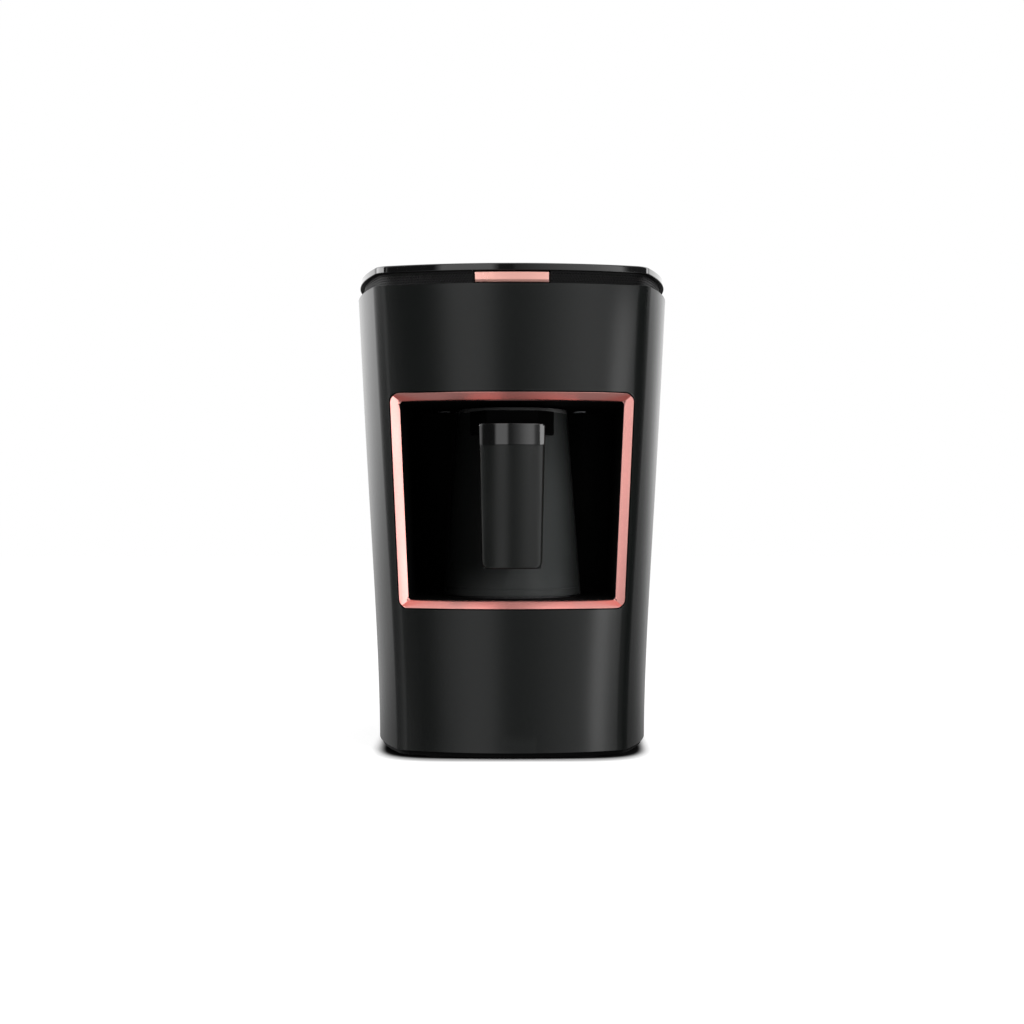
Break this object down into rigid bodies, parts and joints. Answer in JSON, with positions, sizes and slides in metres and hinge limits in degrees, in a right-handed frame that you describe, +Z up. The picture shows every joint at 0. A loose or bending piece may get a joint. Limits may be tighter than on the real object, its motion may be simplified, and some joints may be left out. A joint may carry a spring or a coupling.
{
  "type": "electric turkish coffee maker",
  "caption": "Tall tapered countertop coffee maker with an open front chamber, a metal window frame, a slide-out coffee pot with a flat handle, and a push bar under the top plate.",
  "frame": {"origin": "centre of the footprint, on the surface that the feet stand on", "axes": "+Z up, -Y out of the front with the chamber and the start button, +X to the right seen from behind"},
  "size_m": [0.1804, 0.2076, 0.2678],
  "materials": {
    "casing_satin": "satin charcoal moulding",
    "rose_metal": "rose gold plated frame",
    "rose_metal_button": "rose gold plated button",
    "chamber_black": "plain black moulding",
    "plate_aluminium": "dark coated aluminium",
    "seal_rubber": "black rubber",
    "element_steel": "dull sheathed element",
    "plain_steel": "pressed steel",
    "screw_steel": "zinc plated screw",
    "spring_steel": "spring wire",
    "part_white": "off-white moulding",
    "part_black": "black moulding",
    "part_red": "red plunger",
    "part_blue": "blue relay case",
    "part_yellow": "taped winding",
    "part_dark": "sleeved can",
    "inner_black": "black moulding",
    "band_black": "finely perforated black band",
    "gloss_black": "high gloss black",
    "lens_dark": "dark sensor window",
    "board_green": "circuit board",
    "lamp_grey": "clouded lamp lens",
    "pot_steel": "brushed steel",
    "pot_charcoal": "satin charcoal jacket",
    "pot_black": "black moulding",
    "pot_trim": "smooth rim collar",
    "cap_gloss": "glossy cap",
    "grip_charcoal": "satin charcoal grip",
    "foot_rubber": "black rubber",
    "lead_grey": "grey insulated lead",
    "lead_red": "red insulated lead"
  },
  "bodies": {
    "casing": {"outer_shell": "casing_satin", "window_frame": "rose_metal", "chamber_liner": "chamber_black", "hot_plate": "plate_aluminium", "plate_seal": "seal_rubber", "heating_element": "element_steel", "plate_strap": "plain_steel", "strap_screws": "screw_steel", "temperature_probe": "plain_steel", "thermal_fuse": "part_white", "top_deck": "inner_black", "vent_band": "band_black", "top_plate": "gloss_black", "plate_screws": "screw_steel", "button_springs": "spring_steel", "micro_switch": "part_black", "sensor_hood": "chamber_black", "sensor_lens": "lens_dark", "sensor_board": "board_green", "chamber_lamps": "lamp_grey", "lamp_board": "board_green", "base_cover": "inner_black", "base_screws": "screw_steel", "rubber_feet": "foot_rubber", "cord_gland": "seal_rubber", "cord_clamp": "part_black", "clamp_screws": "screw_steel", "terminal_block": "part_white", "control_board": "board_green", "board_screws": "screw_steel", "power_relay": "part_blue", "supply_coil": "part_yellow", "smoothing_capacitor": "part_dark", "buzzer": "part_black", "ribbon_socket": "part_white", "ribbon_lead": "lead_grey", "heater_leads": "lead_red", "switch_leads": "lead_grey"},
    "button": {"start_button": "rose_metal_button", "button_carrier": "inner_black"},
    "plunger": {"switch_plunger": "part_red"},
    "pot": {"pot_vessel": "pot_steel", "pot_jacket": "pot_charcoal", "pot_foot": "pot_black", "pot_rim": "pot_trim", "handle_cap": "cap_gloss", "handle_grip": "grip_charcoal", "handle_back": "grip_charcoal", "handle_screws": "screw_steel", "handle_bridge": "pot_black"}
  },
  "joints": [
    {"name": "button_press", "type": "slide", "parent": "casing", "child": "button", "axis": [0, 1, 0], "range_m": [0, 0.0016], "stiffness_N_per_m": 600, "springref_m": -0.002, "deforming": ["button_springs"]},
    {"name": "plunger_press", "type": "slide", "parent": "casing", "child": "plunger", "axis": [0, 1, 0], "range_m": [0, 0.0016]},
    {"name": "pot_slide", "type": "slide", "parent": "casing", "child": "pot", "axis": [0, -1, 0], "range_m": [0, 0.16]}
  ],
  "couplings": [
    {"joint": "plunger_press", "follows": "button_press", "ratio": 1}
  ]
}
